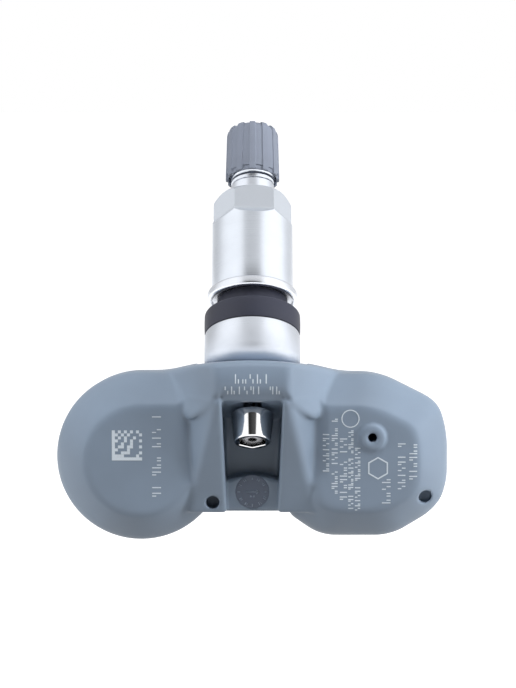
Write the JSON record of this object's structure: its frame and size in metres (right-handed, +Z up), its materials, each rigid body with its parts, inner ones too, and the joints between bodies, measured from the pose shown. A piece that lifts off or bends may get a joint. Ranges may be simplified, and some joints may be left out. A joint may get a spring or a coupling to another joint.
{
  "type": "tyre pressure sensor",
  "caption": "Tyre pressure sensor: a two-lobed moulded housing on the ball foot of a clamp-in metal valve with a rubber grommet, a long union nut and a ribbed cap.",
  "frame": {"origin": "On the valve's axis, in the plane where the grommet's collar meets the inside of the rim. It is also the centre of the ball under the valve's base.", "axes": "+Z up, +X to the right of someone who faces the housing, whose front faces -Y and whose back is flat and faces +Y. The valve's axis is (0, sin 30, cos 30)."},
  "size_m": [0.0621, 0.0354, 0.0661],
  "materials": {
    "cap_plastic": "ribbed grey plastic with a fine grain",
    "nut_alloy": "satin anodised, turned",
    "valve_alloy": "satin anodised, turned",
    "washer_alloy": "satin anodised",
    "grommet_rubber": "matt moulded rubber",
    "seal_rubber": "matt rubber",
    "screw_chrome": "polished nickel-chrome",
    "core_brass": "turned brass",
    "core_seal_white": "white sealing plastic",
    "spring_steel": "bright spring wire",
    "housing_plastic": "blue-grey glass-filled plastic, fine satin",
    "board_green": "solder-resist laminate",
    "cell_steel": "nickel-plated steel can",
    "tab_steel": "nickel strip",
    "chip_black": "black moulded package",
    "ferrite": "grey-black ferrite",
    "copper": "enamelled copper wire",
    "ceramic_tan": "ceramic chip capacitor"
  },
  "bodies": {
    "valve": {"valve_body": "valve_alloy", "rim_grommet": "grommet_rubber", "hollow_screw": "screw_chrome", "core_barrel": "core_brass", "core_seal": "core_seal_white", "core_spring": "spring_steel"},
    "sensor": {"housing": "housing_plastic", "back_lid": "housing_plastic", "circuit_board": "board_green", "battery_cell": "cell_steel", "battery_tab_front": "tab_steel", "battery_tab_back": "tab_steel", "sensor_chip": "chip_black", "port_seal": "seal_rubber", "transmitter_chip": "chip_black", "antenna_core": "ferrite", "antenna_winding": "copper", "crystal": "cell_steel", "capacitors": "ceramic_tan"},
    "washer": {"clamp_washer": "washer_alloy"},
    "nut": {"union_nut": "nut_alloy"},
    "cap_ring": {"cap_seal": "seal_rubber"},
    "cap": {"valve_cap": "cap_plastic"},
    "pin": {"core_pin": "core_brass", "pin_seal": "seal_rubber"}
  },
  "joints": [
    {"name": "housing_swing", "type": "hinge", "parent": "valve", "child": "sensor", "pos_m": [0, 0, 0], "axis": [1, 0, 0], "range_deg": [-6, 6]},
    {"name": "nut_travel", "type": "slide", "parent": "valve", "child": "washer", "axis": [0, 0.5, 0.866], "range_m": [0, 0.003]},
    {"name": "nut_turn", "type": "hinge", "parent": "washer", "child": "nut", "pos_m": [0, 0, 0], "axis": [0, 0.5, 0.866], "range_deg": [0, 1080]},
    {"name": "cap_travel", "type": "slide", "parent": "valve", "child": "cap_ring", "axis": [0, 0.5, 0.866], "range_m": [0, 0.00714]},
    {"name": "cap_turn", "type": "hinge", "parent": "cap_ring", "child": "cap", "pos_m": [0, 0, 0], "axis": [0, 0.5, 0.866], "range_deg": [0, 3240]},
    {"name": "pin_press", "type": "slide", "parent": "valve", "child": "pin", "axis": [0, -0.5, -0.866], "range_m": [0, 0.0012], "stiffness_N_per_m": 250, "springref_m": -0.001, "deforming": ["core_spring"]}
  ],
  "couplings": [
    {"joint": "nut_turn", "follows": "nut_travel", "rad_per_m": 6283.2},
    {"joint": "cap_turn", "follows": "cap_travel", "rad_per_m": 7915.8}
  ]
}
